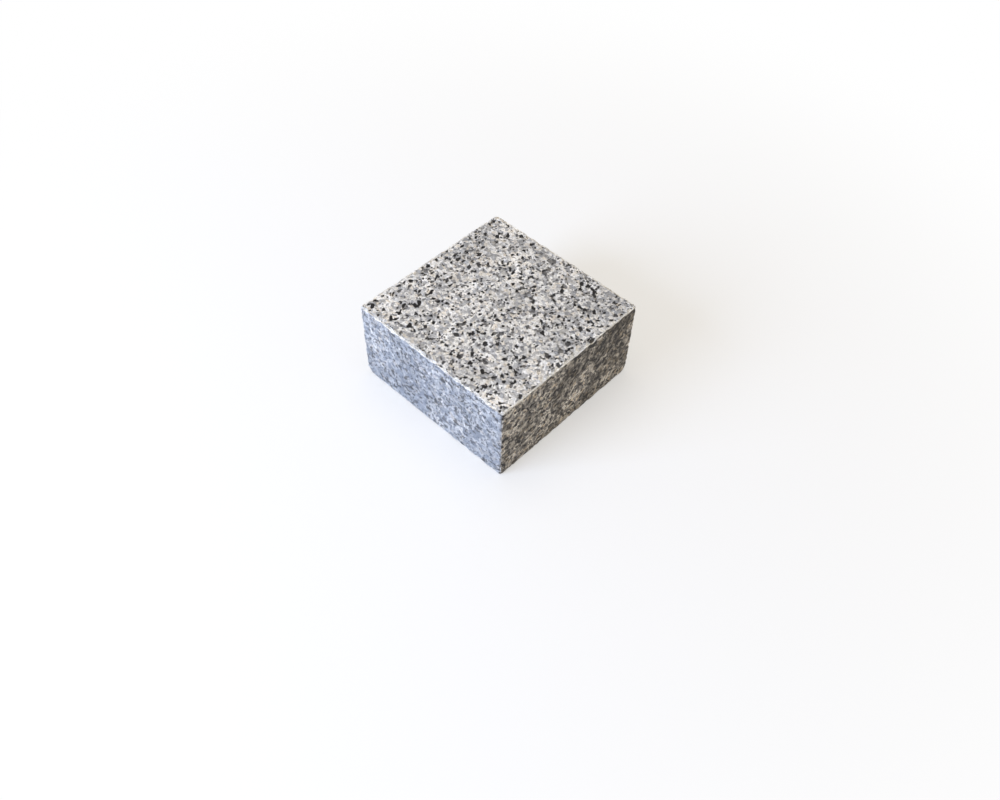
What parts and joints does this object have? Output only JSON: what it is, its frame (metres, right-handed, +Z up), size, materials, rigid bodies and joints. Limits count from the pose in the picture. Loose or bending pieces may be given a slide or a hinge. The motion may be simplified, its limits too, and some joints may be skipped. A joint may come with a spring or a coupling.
{
  "type": "granite kerb stone",
  "caption": "Square granite kerb block with a flamed top, sawn sides and bed, and small chips along its arrises.",
  "frame": {"origin": "middle of the sawn bed that the stone lies on", "axes": "+Z up out of the flamed wearing face, +X and +Y square to the sawn sides, front face towards -Y"},
  "size_m": [0.1, 0.1, 0.05],
  "materials": {
    "granite": "flamed wearing face, sawn sides and bed"
  },
  "bodies": {
    "root": {"kerb_stone": "granite"}
  },
  "joints": []
}
